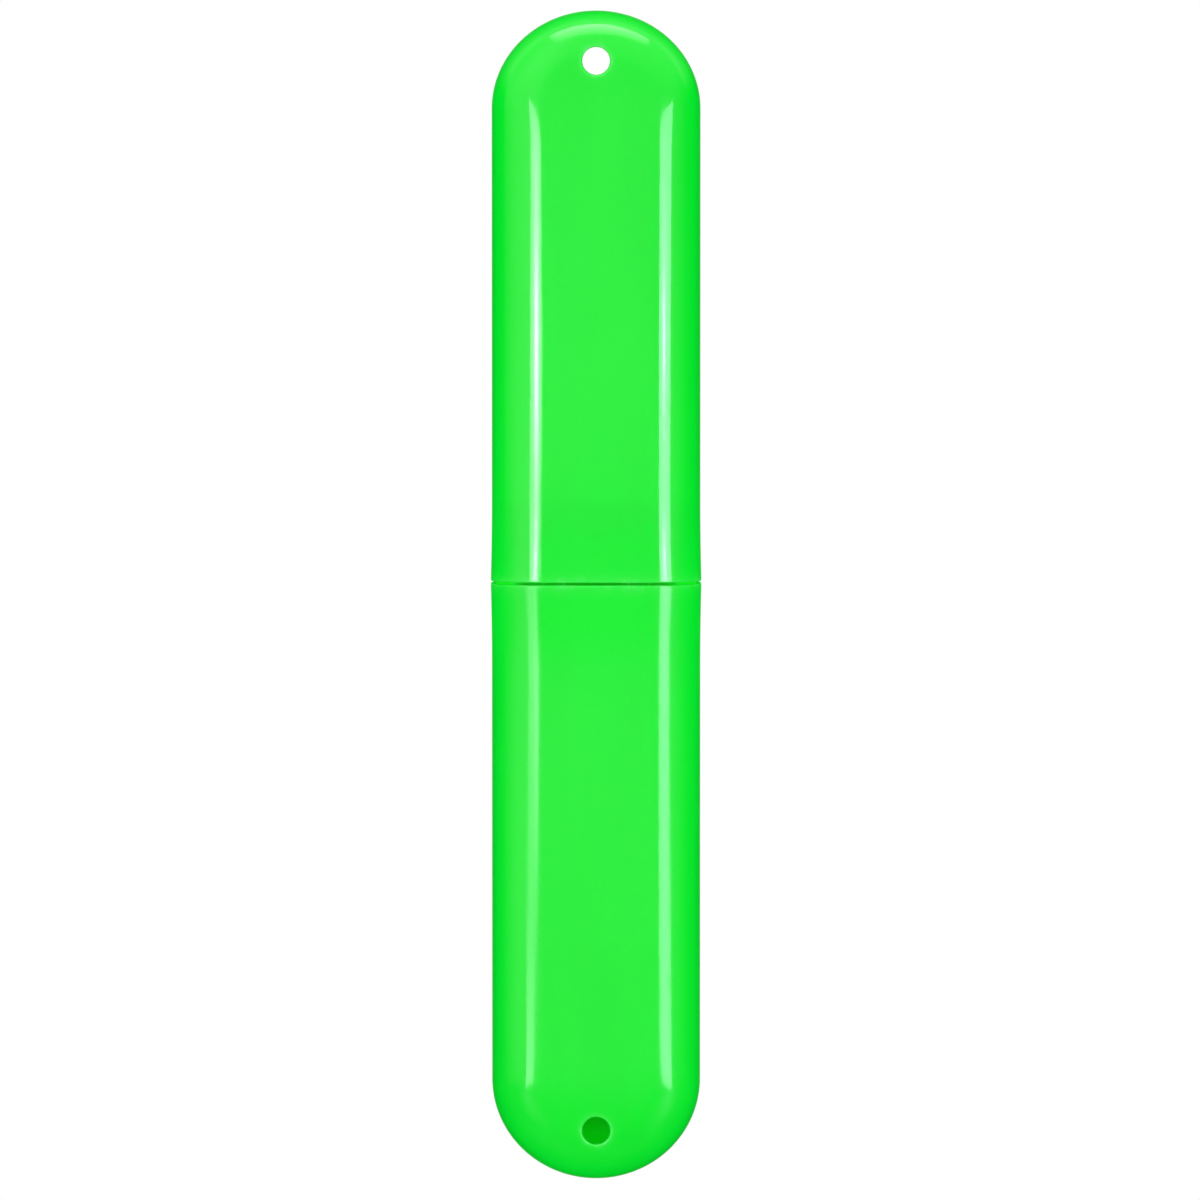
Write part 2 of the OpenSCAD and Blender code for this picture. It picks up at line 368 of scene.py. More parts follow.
def wearAndPaintedLightOf(points, zones, half):
    # Shares from 0 to 1 that the finishes read. "edge" dies away exponentially from the rims and the vent
    # holes; the pale it brings there is partly wear and partly a painted highlight. "rub" of fingers falls
    # off from the seam like a bell curve, and leaves out the rounded edges.
    # "shade" is a painted shade: the dark of the open seam at the foot of the neck, which pales in straight
    # ramps towards the sides and on the ribs. "lit" is a painted glow that stands in for light that comes
    # through the plastic there, and inside.
    x, y, z = points.T
    aside = np.abs(x)
    u = (y - half["rim"]) * half["way"]
    ventY = half["rim"] + half["way"] * (half["length"] - half["ventInset"])
    ventRim = caseSizes["ventDiameter"] / 2 + caseSizes["ventRound"] / 2
    fromVent = np.abs(np.hypot(x, y - ventY) - ventRim)
    onVentFace = np.isin(np.sign(z - halfThickness), half["ventFaces"])
    fromRim = np.minimum(np.abs(u), np.abs(u - half["openEnd"]))
    thinning = 1 - (1 - wearAndPaintedLightReach["rimThinned"]) * ramp(aside, wearAndPaintedLightReach["rimThins"])
    atRim = np.exp(-fromRim / wearAndPaintedLightReach["rim"]) * thinning
    atVent = np.exp(-fromVent / wearAndPaintedLightReach["vent"]) * onVentFace

    edgeStart = caseSizes["width"] / 2 - caseSizes["edgeWidth"]
    onFlat = 1 - ramp(aside, (edgeStart, edgeStart + wearAndPaintedLightReach["rubFades"]))
    onSide = np.minimum(ramp(aside, wearAndPaintedLightReach["sideFrom"]), wearAndPaintedLightReach["sideStrength"])
    nearSeam = np.clip(wearAndPaintedLightReach["rubStrength"] * np.exp(-(u / wearAndPaintedLightReach["rub"]) ** 2), 0, 1)

    toRib = np.abs(aside[:, None] - np.array(gripRibs["places"])).min(axis=1)
    onRib = np.exp(-(toRib / wearAndPaintedLightReach["rib"]) ** 2)
    # Painted shade: the open seam at the foot of the neck is darkened, less so towards the sides and on the
    # ribs
    inSeam = np.where(zones == 1, 1 - ramp(np.abs(u), wearAndPaintedLightReach["seam"]), 0)
    onNeck = inSeam * (half["openEnd"] < 0)
    inSides = ramp(aside, wearAndPaintedLightReach["seamSides"])
    middleShare, sideShare = wearAndPaintedLightReach["paleShares"]
    pales = middleShare * ramp(aside, wearAndPaintedLightReach["seamPales"]) + sideShare * inSides
    # Painted glow: light through the plastic at the sides of the seam and on the ribs, and inside, more
    # towards the tip
    seamLight = inSeam * np.maximum(inSides * wearAndPaintedLightReach["sideLight"], onRib * wearAndPaintedLightReach["ribLight"])
    atTip = ramp(half["length"] - u, wearAndPaintedLightReach["tipSpan"])
    insideLight = wearAndPaintedLightReach["insideLight"] + wearAndPaintedLightReach["tipLight"] * atTip
    return {
        "edge": np.maximum(atRim, atVent),
        "rub": np.maximum(nearSeam * (onFlat + onSide), onNeck),
        "lit": np.where(zones == 2, insideLight, seamLight),
        "shade": onNeck * (1 - np.maximum(pales, onRib * wearAndPaintedLightReach["ribPales"])),
    }


def pieceFrom(name, points, faces, zones, half, body, node):
    # Puts the surface into a mesh, turns its faces outwards and seats it on its body
    mesh = bpy.data.meshes.new(name)
    mesh.from_pydata(points, [], [corners for block in faces for corners in block.tolist()])
    mesh.polygons.foreach_set("material_index", zones.astype(np.int32))
    corners = np.concatenate([np.full(len(block), block.shape[1]) for block in faces])
    zoneOf = np.zeros(len(points), int)
    zoneOf[np.concatenate([block.ravel() for block in faces])] = np.repeat(zones, corners)
    for key, share in wearAndPaintedLightOf(points, zoneOf, half).items():
        mesh.attributes.new(key, "FLOAT", "POINT").data.foreach_set("value", share.astype(np.float32))
    work = bmesh.new()
    work.from_mesh(mesh)
    bmesh.ops.delete(work, geom=[vertex for vertex in work.verts if not vertex.link_faces], context="VERTS")
    bmesh.ops.recalc_face_normals(work, faces=work.faces)
    work.to_mesh(mesh)
    work.free()
    mesh.shade_smooth()
    piece = bpy.data.objects.new(name, mesh)
    bpy.context.scene.collection.objects.link(piece)
    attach(piece, body)
    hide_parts(node)
    return piece


# The lower half, with its neck

bodyHalf = {
    "rim": capLow.y - caseSizes["seamGap"],
    "way": -1,
    "arc": 17.7 * mm,
    "fallLength": 22 * mm,
    "fall": 1.2 * mm,
    "ventInset": 9.2 * mm,
    "ventFaces": (1,),
    "footEnd": 1 * mm,
    "neckFrom": 2.5 * mm,
    "leadLength": 1.2 * mm,
    "leadDepth": 0.3 * mm,
}
bodyHalf["length"] = bodyHalf["rim"] - bodyLow.y
bodyHalf["neckLength"] = bodyHigh.y - bodyHalf["rim"]
bodyHalf["openEnd"] = -bodyHalf["neckLength"]


def neckProfile(half):
    # Inner corner, foot, straight neck, tapered lead and the rounded end of the neck. Corners are quarter
    # rounds of radius e, e cos(t) along and e sin(t) across. The foot has close rows for the seam's shade.
    step, e = caseSizes["neckStep"], caseSizes["smallRound"]
    lead = step + half["leadDepth"]
    leadStart = half["leadLength"] - half["neckLength"]
    end = -half["neckLength"]
    turn = quarter()
    corner = rowsOf(-e + e * np.cos(turn), step - e + e * np.sin(turn))
    foot = rowsOf(np.linspace(-2 * e, -half["footEnd"], gridSizes["footRows"]), step)
    straight = rowsOf(np.linspace(-half["neckFrom"], leadStart, gridSizes["neckRows"]), step)
    leadEnd = lead + e * (1 - np.cos(turn))
    outerEnd = rowsOf(end + e * (1 - np.sin(turn)), leadEnd)
    innerEnd = rowsOf(end + e * (1 - np.cos(turn)), caseSizes["wall"] - e + e * np.sin(turn))
    return np.concatenate([corner, foot, straight, outerEnd, innerEnd], axis=1)


def ribSurface(half):
    # Each rib is a rounded bar carried up the neck: x = w/2 cos(t)^0.5 and z from the root to the top as
    # sin(t)^0.5 runs from -1 to 1, with a top that falls to nothing over the ramp at its free end, as a
    # smooth step.
    y = np.linspace(-caseSizes["rimRound"], half["neckLength"] - half["leadLength"], gripRibs["stations"])
    rise = np.clip((y[-1] - y) / gripRibs["ramp"], 0, 1)
    top = gripRibs["height"] * (3 * rise ** 2 - 2 * rise ** 3)
    t = np.arange(gripRibs["sides"]) * 2 * math.pi / gripRibs["sides"]
    across = np.sign(np.cos(t)) * np.abs(np.cos(t)) ** 0.5 * gripRibs["width"] / 2
    up = (np.sign(np.sin(t)) * np.abs(np.sin(t)) ** 0.5 + 1) / 2
    height = caseSizes["neckStep"] + gripRibs["root"] - up * (top[:, None] + gripRibs["root"])
    place = np.array(gripRibs["places"])
    x = place[:, None, None] + across[None, None, :]
    y = half["rim"] + np.broadcast_to(y[None, :, None], (len(place), len(y), len(t)))
    points = []
    for face in (1, -1):
        z = halfThickness + face * (halfThickness - np.broadcast_to(height, y.shape))
        points.append(np.stack([np.broadcast_to(x, y.shape), y, z], axis=-1))
    points = np.concatenate(points)
    bars, stations, sides = points.shape[:3]
    counts = (np.arange(count) for count in (bars, stations - 1, sides))
    bar, station, side = np.meshgrid(*counts, indexing="ij")
    here = (bar * stations + station) * sides + side
    beside = (bar * stations + station) * sides + (side + 1) % sides
    quads = np.stack([here, beside, beside + sides, here + sides], axis=-1).reshape(-1, 4)
    first = np.arange(bars)[:, None] * stations * sides + np.arange(sides)
    ends = np.concatenate([first, first + (stations - 1) * sides])
    return points.reshape(-1, 3), quads, ends


points, faces, zones = shellSurface(
    outerSkin(bodyHalf), neckProfile(bodyHalf), innerSkin(bodyHalf, -bodyHalf["neckLength"]), bodyHalf)
ribPoints, ribQuads, ribEnds = ribSurface(bodyHalf)
faces += [ribQuads + len(points), ribEnds + len(points)]
zones = np.concatenate([zones, np.full(len(ribQuads) + len(ribEnds), 1)])
points = np.concatenate([points, ribPoints])
bodyPiece = pieceFrom("toothbrush_case_body", points, faces, zones, bodyHalf, "body", "case_body")
print("body made:", len(bodyPiece.data.polygons), "faces")

# The upper half, with its mouth

capHalf = {
    "rim": capLow.y,
    "way": 1,
    "arc": 17.1 * mm,
    "fallLength": 24 * mm,
    "fall": 1.6 * mm,
    "ventInset": 8.8 * mm,
    "ventFaces": (1, -1),
    "mouthDepth": 13.95 * mm,
}
capHalf["length"] = capHigh.y - capHalf["rim"]
capHalf["openEnd"] = 0.0


def mouthProfile(half):
    # Inner edge of the rim, straight socket for the neck and the step at its end, with corners that are
    # quarter rounds of radius e
    step, e = caseSizes["neckStep"] - caseSizes["neckClearance"], caseSizes["smallRound"]
    depth = half["mouthDepth"]
    turn = quarter()
    edge = rowsOf(e * (1 - np.cos(turn)), step - e + e * np.sin(turn))
    straight = rowsOf(np.linspace(2 * e, depth - 2 * e, gridSizes["mouthRows"]), step)
    corner = rowsOf(depth - e + e * np.sin(turn), step + e * (1 - np.cos(turn)))
    stepEdge = rowsOf(depth + e * (1 - np.cos(turn)), caseSizes["wall"] - e + e * np.sin(turn))
    return np.concatenate([edge, straight, corner, stepEdge], axis=1)


points, faces, zones = shellSurface(
    outerSkin(capHalf), mouthProfile(capHalf), innerSkin(capHalf, capHalf["mouthDepth"]), capHalf)
capPiece = pieceFrom("toothbrush_case_cap", points, faces, zones, capHalf, "cap", "case_cap")
print("cap made:", len(capPiece.data.polygons), "faces")


# Materials: a few small helpers, two shared effects and four finishes

def addNode(tree, kind, values=None, **settings):
    # A shader node. Each of its inputs gets a value, or a link where the value is a socket.
    node = tree.nodes.new("ShaderNode" + kind)
    for key, value in settings.items():
        setattr(node, key, value)
    for key, value in (values or {}).items():
        if isinstance(value, bpy.types.NodeSocket):
            tree.links.new(value, node.inputs[key])
        else:
            node.inputs[key].default_value = value
    return node


def calc(tree, operation, first, second=0.0, clamp=False):
    # One Math node
    return addNode(tree, "Math", {0: first, 1: second}, operation=operation, use_clamp=clamp).outputs[0]


def spread(tree, value, low, high, toLow=0.0, toHigh=1.0):
    # A smooth step: toLow up to low, toHigh from high on, and 3 t^2 - 2 t^3 of the way between them
    values = {"Value": value, "From Min": low, "From Max": high, "To Min": toLow, "To Max": toHigh}
    return addNode(tree, "MapRange", values, interpolation_type="SMOOTHSTEP").outputs["Result"]


def noiseAt(tree, scale, stretch=(1, 1, 1), turn=(0, 0, 0), detail=2.0, roughness=0.5):
    # Noise on Object coordinates. Scale is in cycles per metre, and a stretch below 1 draws it out that way.
    place = addNode(tree, "TexCoord").outputs["Object"]
    turned = addNode(tree, "Mapping", {"Vector": place, "Rotation": turn}).outputs["Vector"]
    drawn = addNode(tree, "Mapping", {"Vector": turned, "Scale": stretch}).outputs["Vector"]
    values = {"Vector": drawn, "Scale": scale, "Detail": detail, "Roughness": roughness}
    return addNode(tree, "TexNoise", values).outputs["Fac"]


def attributeOf(tree, name):
    # A share that wearAndPaintedLightOf or lightPanel has put on the mesh
    return addNode(tree, "Attribute", attribute_name=name).outputs["Fac"]


def mixColour(tree, share, first, second):
    # The first colour, with this share of it replaced by the second
    node = addNode(tree, "Mix", data_type="RGBA")
    for socket, value in zip((node.inputs[0], node.inputs[6], node.inputs[7]), (share, first, second)):
        if isinstance(value, bpy.types.NodeSocket):
            tree.links.new(value, socket)
        else:
            socket.default_value = value
    return node.outputs[2]


def newGroup(name, inputs, outputs):
    # An empty node group with named sockets
    tree = bpy.data.node_groups.new(name, "ShaderNodeTree")
    for key, kind in inputs.items():
        tree.interface.new_socket(key, in_out="INPUT", socket_type="NodeSocket" + kind)
    for key, kind in outputs.items():
        tree.interface.new_socket(key, in_out="OUTPUT", socket_type="NodeSocket" + kind)
    return tree, tree.nodes.new("NodeGroupInput").outputs, tree.nodes.new("NodeGroupOutput").inputs


# The shared effects. Scales are in cycles per metre, and a draw below 1 draws the noise out. A span is the
# part of the noise that is spread from nothing to all, so a narrow one gives hard edges.
pigmentFlow = {
    "cloudScale": 75,
    "cloudSpan": (0.35, 0.65),
    "cloudDraw": 0.22,       # the clouds are drawn out along the flow
    "grainScale": 2600,
    "grainSpan": (0.3, 0.7),
    "grainShare": 0.06,
    "knockScale": 420,
    "knockSpan": (0.48, 0.62),
    "rimSheenShare": 0.5,        # how pale a rim is painted between its knocks, as a painted highlight
}
handlingMarks = {
    "smudgeScale": 90,
    "smudgeSpan": (0.42, 0.68),
    "smudgeDraw": 0.6,
    "patchScale": 45,        # hairlines come in patches
    "patchSpan": (0.4, 0.6),
    "lineScale": 2200,
    "lineSpan": (0.7, 0.78),
    "lineDraw": 0.2,
    "lines": ((0.18, 0.02), (-0.42, 0.03), (1.25, 0.045)),      # the turn of each set, and its stretch
    "drawScale": 1500,
    "drawSpan": (0.3, 0.7),
    "drawDraw": 0.012,
    "waveScale": 260,
    "rubLeast": 0.8,         # how much rubbing shows between the smudges
    "lineDulls": 0.25,
    "drawDulls": 0.12,
    "edgeDulls": 0.06,
    "lineDepth": 0.35,
    "drawDepth": 0.5,
    "lineUnpolish": 0.3,
}


def pigmentAndPaintedLightGroup():
    # Colour of the moulded plastic: slow clouds drawn out along the flow and a fine grain of pigment. Rims
    # are painted paler, partly as a painted highlight and paler still where they have been knocked, and the
    # open seam gets a painted shade.
    tree, given, out = newGroup("pigment_and_painted_light", {
        "Colour": "Color", "Deep": "Color", "Pale": "Color", "Shadow": "Color",
        "Clouds": "Float", "Sheen and knocks": "Float",
    }, {"Colour": "Color"})
    drawn = (1, pigmentFlow["cloudDraw"], 1)
    clouds = noiseAt(tree, pigmentFlow["cloudScale"], stretch=drawn, detail=3)
    clouds = spread(tree, clouds, *pigmentFlow["cloudSpan"])
    grain = spread(tree, noiseAt(tree, pigmentFlow["grainScale"], detail=1), *pigmentFlow["grainSpan"])
    clouds = calc(tree, "MULTIPLY", clouds, given["Clouds"])
    mixed = calc(tree, "ADD", clouds, calc(tree, "MULTIPLY", grain, pigmentFlow["grainShare"]))
    colour = mixColour(tree, mixed, given["Colour"], given["Deep"])
    # Pale rims: a painted highlight along every rim, paler still where the noise marks knocks
    sheenAndKnockNoise = noiseAt(tree, pigmentFlow["knockScale"], detail=4, roughness=0.65)
    sheenAndKnockNoise = spread(tree, sheenAndKnockNoise, *pigmentFlow["knockSpan"], pigmentFlow["rimSheenShare"], 1.0)
    rimSheenAndKnocks = calc(tree, "MULTIPLY", sheenAndKnockNoise, attributeOf(tree, "edge"))
    colour = mixColour(tree, calc(tree, "MULTIPLY", rimSheenAndKnocks, given["Sheen and knocks"]), colour, given["Pale"])
    # Painted shade: the shade share turns the colour to the Shadow colour in the open seam
    tree.links.new(mixColour(tree, attributeOf(tree, "shade"), colour, given["Shadow"]), out["Colour"])
    return tree


def handlingGroup():
    # What moulding and use leave on the surface: the mould's faint waviness, smudges, hairlines in three
    # directions, draw marks along Y, and dull edges. Each adds its share to the roughness, and the lines are
    # cut into the height and take away polish, as rubbing does.
    tree, given, out = newGroup("handled_surface", {
        "Roughness": "Float", "Smudges": "Float", "Hairlines": "Float", "Draw marks": "Float",
        "Waviness": "Float", "Polish": "Float",
    }, {"Roughness": "Float", "Height": "Float", "Polish": "Float"})
    stretch = (1, handlingMarks["smudgeDraw"], 1)
    smudge = noiseAt(tree, handlingMarks["smudgeScale"], stretch=stretch, detail=4, roughness=0.6)
    smudge = spread(tree, smudge, *handlingMarks["smudgeSpan"])
    where = noiseAt(tree, handlingMarks["patchScale"], detail=1)
    where = spread(tree, where, *handlingMarks["patchSpan"])
    lines = 0.0
    for angle, length in handlingMarks["lines"]:
        stretch, turn = (1, length, handlingMarks["lineDraw"]), (0, 0, angle)
        noise = noiseAt(tree, handlingMarks["lineScale"], stretch=stretch, turn=turn, detail=0)
        lines = calc(tree, "MAXIMUM", spread(tree, noise, *handlingMarks["lineSpan"]), lines)
    lines = calc(tree, "MULTIPLY", calc(tree, "MULTIPLY", lines, where), given["Hairlines"])
    stretch = (1, handlingMarks["drawDraw"], 1)
    drawn = noiseAt(tree, handlingMarks["drawScale"], stretch=stretch, detail=2)
    drawn = spread(tree, drawn, *handlingMarks["drawSpan"])
    drawn = calc(tree, "MULTIPLY", drawn, given["Draw marks"])

    rough = calc(tree, "ADD", given["Roughness"], calc(tree, "MULTIPLY", smudge, given["Smudges"]))
    rough = calc(tree, "ADD", rough, calc(tree, "MULTIPLY", lines, handlingMarks["lineDulls"]))
    rough = calc(tree, "ADD", rough, calc(tree, "MULTIPLY", drawn, handlingMarks["drawDulls"]))
    dullEdge = calc(tree, "MULTIPLY", attributeOf(tree, "edge"), handlingMarks["edgeDulls"])
    tree.links.new(calc(tree, "ADD", rough, dullEdge, clamp=True), out["Roughness"])

    wave = calc(tree, "MULTIPLY", noiseAt(tree, handlingMarks["waveScale"], detail=1), given["Waviness"])
    height = calc(tree, "SUBTRACT", wave, calc(tree, "MULTIPLY", lines, handlingMarks["lineDepth"]))
    height = calc(tree, "SUBTRACT", height, calc(tree, "MULTIPLY", drawn, handlingMarks["drawDepth"]))
    tree.links.new(height, out["Height"])

    rubbed = spread(tree, smudge, 0.0, 1.0, handlingMarks["rubLeast"], 1.0)
    rubbed = calc(tree, "MULTIPLY", attributeOf(tree, "rub"), rubbed)
    polish = calc(tree, "SUBTRACT", 1.0, rubbed)
    polish = calc(tree, "SUBTRACT", polish, calc(tree, "MULTIPLY", lines, handlingMarks["lineUnpolish"]))
    tree.links.new(calc(tree, "MULTIPLY", polish, given["Polish"], clamp=True), out["Polish"])
    return tree


# What all four finishes share
greenShades = {
    "colour": (0.002, 0.86, 0.03, 1),
    "deep": (0.001, 0.8, 0.026, 1),
    "pale": (0.09, 0.86, 0.14, 1),
    # painted shade colour of the open seam
    "shadow": (0.0, 0.2, 0.0, 1),
    # painted glow of the open seam
    "seamGlow": (0.0, 0.7, 0.0, 1),
    "ior": 1.5,
    "glowDepth": 0.8 * mm,
    "glowRadius": (0.05, 1.0, 0.2),
    "markDepth": 0.012 * mm,
}

# Names with a capital are inputs of the two effects. "level" is the specular level, "coat" the roughness of
# the coat, "glow" the strength of the painted glow that stands in for light that comes through the plastic,
# and
# "through" the weight of the subsurface. The neck has none, because it would go dark where the ribs lie in
# it.
finishes = {
    "cap_gloss": {
        "Roughness": 0.3, "Smudges": 0.05, "Hairlines": 0.5, "Draw marks": 0.0, "Waviness": 0.35,
        "Polish": 1.0, "Clouds": 0.4, "Sheen and knocks": 0.9,
        "coat": 0.08, "level": 0.12, "glow": 0.0, "through": 1.0,
    },
    "body_gloss": {
        "Roughness": 0.33, "Smudges": 0.06, "Hairlines": 0.6, "Draw marks": 0.0, "Waviness": 0.45,
        "Polish": 0.95, "Clouds": 0.4, "Sheen and knocks": 0.9,
        "coat": 0.11, "level": 0.12, "glow": 0.0, "through": 1.0,
    },
    "neck_slide_painted_seam": {
        "Roughness": 0.32, "Smudges": 0.08, "Hairlines": 0.3, "Draw marks": 1.0, "Waviness": 0.2,
        "Polish": 0.25, "Clouds": 0.5, "Sheen and knocks": 0.4,
        "coat": 0.15, "level": 0.02, "glow": 0.35, "through": 0.0,
        "Colour": (0.002, 0.86, 0.01, 1), "Deep": (0.001, 0.82, 0.008, 1),
    },
    "core_satin_painted_glow": {
        "Roughness": 0.42, "Smudges": 0.08, "Hairlines": 0.0, "Draw marks": 0.6, "Waviness": 0.3,
        "Polish": 0.05, "Clouds": 0.8, "Sheen and knocks": 0.2,
        "coat": 0.2, "level": 0.12, "glow": 0.3, "through": 1.0,
        "Colour": (0.001, 0.84, 0.01, 1), "Deep": (0.001, 0.8, 0.008, 1),
    },
}

pigmentAndPaintedLight = pigmentAndPaintedLightGroup()
handling = handlingGroup()


def greenFinish(name, finish):
    # One finish: both effects with the finish's own values, fed to a Principled shader
    material = bpy.data.materials.new(name)
    material.use_nodes = True
    tree = material.node_tree
    shader = tree.nodes["Principled BSDF"]
    colour = addNode(tree, "Group", node_tree=pigmentAndPaintedLight)
    surface = addNode(tree, "Group", node_tree=handling)
    for key in ("Colour", "Deep", "Pale", "Shadow"):
        colour.inputs[key].default_value = greenShades[key.lower()]
    for node in (colour, surface):
        for socket in node.inputs:
            if socket.name in finish:
                socket.default_value = finish[socket.name]
    bump = addNode(tree, "Bump", {"Height": surface.outputs["Height"], "Distance": greenShades["markDepth"]})
    tree.links.new(colour.outputs["Colour"], shader.inputs["Base Color"])
    tree.links.new(surface.outputs["Roughness"], shader.inputs["Roughness"])
    tree.links.new(surface.outputs["Polish"], shader.inputs["Coat Weight"])
    tree.links.new(bump.outputs["Normal"], shader.inputs["Normal"])
    shader.inputs["IOR"].default_value = greenShades["ior"]
    shader.inputs["Specular IOR Level"].default_value = finish["level"]
    shader.inputs["Coat Roughness"].default_value = finish["coat"]
    shader.inputs["Subsurface Weight"].default_value = finish["through"]
    shader.inputs["Subsurface Radius"].default_value = greenShades["glowRadius"]
    shader.inputs["Subsurface Scale"].default_value = greenShades["glowDepth"]
    if finish["glow"]:
        # Painted glow that stands in for light coming through the thin wall into the seam and the closed
        # case; in the seam's painted shade it turns to a painted green glow
        lit = mixColour(tree, attributeOf(tree, "lit"), (0, 0, 0, 1), colour.outputs["Colour"])
        lit = mixColour(tree, attributeOf(tree, "shade"), lit, greenShades["seamGlow"])
        tree.links.new(lit, shader.inputs["Emission Color"])
        shader.inputs["Emission Strength"].default_value = finish["glow"]
    return material


green = {name: greenFinish(name, finish) for name, finish in finishes.items()}
for piece, names in ((bodyPiece, ("body_gloss", "neck_slide_painted_seam", "core_satin_painted_glow")),
                     (capPiece, ("cap_gloss", "neck_slide_painted_seam", "core_satin_painted_glow"))):
    for name in names:
        piece.data.materials.append(green[name])
print("materials made:", ", ".join(finishes))


# Floor, light and camera

# Each light panel is flat and faces the case, "away" metres off and turned to the side and the end by
# degrees. Its rows say, at a place along it: where its low and high edges are across it, how brightly it
# glows, and how much brighter its core is. These lengths are in metres too.
leftStrip = {
    "toSide": -14.8, "toEnd": -1.6, "away": 1.5, "turn": 0.0,
    "coreAt": 0.03, "coreWidth": 0.09, "lean": 0.0,
    "tint": (0.9, 1.0, 1.04, 1),
    "rows": (
        (-0.37, -0.61, -0.61, 5.6, 0.0),
        (-0.26, -0.565, -0.27, 5.8, 0.0),
        (-0.245, -0.55, -0.14, 6.0, 0.0),
        (-0.19, -0.53, -0.12, 6.2, 0.0),
        (-0.16, -0.5, -0.05, 3.8, 0.0),
        (-0.145, -0.48, 0.0, 1.1, 0.0),
        (-0.13, -0.47, 0.02, 1.1, 0.0),
        (-0.115, -0.44, 0.08, 2.5, 0.7),
        (-0.1, -0.43, 0.11, 3.8, 1.1),
        (-0.06, -0.38, 0.18, 3.4, 0.6),
        (0.0, -0.32, 0.27, 6.0, 1.5),
        (0.03, -0.29, 0.31, 7.0, 3.3),
        (0.045, -0.29, 0.33, 7.6, 4.8),
        (0.06, -0.28, 0.29, 7.2, 3.0),
        (0.085, -0.26, 0.26, 7.0, 0.4),
        (0.15, -0.26, 0.225, 7.0, 0.0),
        (0.185, -0.3, 0.17, 6.8, 0.0),
        (0.215, -0.33, 0.0, 6.6, 0.0),
        (0.3, -0.38, -0.24, 6.4, 0.0),
        (0.4, -0.43, -0.43, 6.4, 0.0),
    ),
}
rightStrip = {
    "toSide": 34.7, "toEnd": -1.6, "away": 1.5, "turn": 0.0,
    "coreAt": -0.115, "coreWidth": 0.06, "lean": 0.0,
    "tint": (0.9, 1.0, 1.18, 1),
    "rows": (
        (-0.42, 0.37, 0.37, 6.2, 0.0),
        (-0.29, 0.03, 0.35, 6.2, 0.0),
        (-0.245, -0.17, 0.34, 6.2, 0.0),
        (-0.225, -0.27, 0.33, 6.2, 0.0),
        (-0.19, -0.3, 0.32, 6.2, 0.0),
        (-0.14, -0.385, 0.25, 5.6, 0.15),
        (-0.08, -0.4, 0.15, 5.2, 0.2),
        (0.0, -0.39, 0.22, 6.2, 0.3),
        (0.03, -0.385, 0.245, 7.4, 0.6),
        (0.045, -0.39, 0.22, 8.4, 5.0),
        (0.06, -0.37, 0.255, 6.9, 0.4),
        (0.09, -0.345, 0.285, 6.2, 0.2),
        (0.15, -0.34, 0.345, 5.5, 0.0),
        (0.19, -0.32, 0.365, 5.3, 0.0),
        (0.21, -0.18, 0.375, 5.3, 0.0),
        (0.25, 0.11, 0.385, 5.3, 0.0),
        (0.4, 0.42, 0.42, 5.3, 0.0),
    ),
}
leftFade = {
    "toSide": -14.8, "toEnd": -1.6, "away": 1.55, "turn": 0.0,
    "coreAt": -0.6, "coreWidth": 0.45, "lean": 0.0,
    "tint": (0.9, 1.0, 1.1, 1),
    "rows": (
        (-1.7, -2.0, 0.8, 0.0, 35.0),
        (-1.3, -2.0, 0.8, 0.003, 35.0),
        (-0.9, -2.0, 0.8, 0.012, 35.0),
        (-0.6, -2.0, 0.8, 0.02, 35.0),
        (-0.48, -2.0, 0.8, 0.02, 35.0),
        (-0.36, -2.0, 0.8, 0.0, 35.0),
    ),
}
rightFade = {
    "toSide": 34.7, "toEnd": -1.6, "away": 1.55, "turn": 0.0,
    "coreAt": 0.28, "coreWidth": 0.42, "lean": 0.0,
    "tint": (0.9, 1.0, 1.2, 1),
    "rows": (
        (-1.7, -1.1, 1.7, 0.0, 35.0),
        (-1.3, -1.1, 1.7, 0.004, 35.0),
        (-0.95, -1.1, 1.7, 0.013, 35.0),
        (-0.7, -1.1, 1.7, 0.02, 35.0),
        (-0.5, -1.1, 1.7, 0.025, 35.0),
        (-0.38, -1.1, 1.7, 0.0, 35.0),
    ),
}
# This one is turned to lie across the case, and dims by its lean
endPanel = {
    "toSide": 0.0, "toEnd": 74.0, "away": 1.5, "turn": 90.0,
    "coreAt": 0.0, "coreWidth": 1.0, "lean": 0.8,
    "tint": (0.92, 1.0, 0.96, 1),
    "rows": (
        (-0.75, -0.36, -0.36, 4.2, 0.0),
        (-0.64, -0.42, 0.03, 5.0, 0.0),
        (-0.53, -0.51, 0.36, 6.0, 0.0),
        (-0.46, -0.54, 0.3, 6.4, 0.0),
        (-0.34, -0.58, 0.25, 7.0, 0.0),
        (0.0, -0.56, 0.19, 7.6, 0.0),
        (0.25, -0.58, 0.17, 7.6, 0.0),
        (0.47, -0.64, 0.14, 7.4, 0.0),
        (0.65, -0.71, 0.12, 7.0, 0.0),
        (0.83, -0.76, 0.04, 6.4, 0.0),
        (0.94, -0.82, -0.55, 5.8, 0.0),
        (1.0, -0.86, -0.86, 5.4, 0.0),
    ),
}


def emitter(name, tint):
    # A material that only glows, by an attribute of the mesh
    material = bpy.data.materials.new(name)
    material.use_nodes = True
    tree = material.node_tree
    tree.nodes.clear()
    glow = addNode(tree, "Emission", {"Color": tint, "Strength": attributeOf(tree, "glow")})
    addNode(tree, "OutputMaterial", {"Surface": glow.outputs["Emission"]})
    return material


def stageMesh(name, points, faces, material):
    # A mesh that only the picture needs, and no piece of the case
    mesh = bpy.data.meshes.new(name)
    mesh.from_pydata(points, [], faces)
    mesh.materials.append(material)
    thing = bpy.data.objects.new(name, mesh)
    bpy.context.scene.collection.objects.link(thing)
    return thing


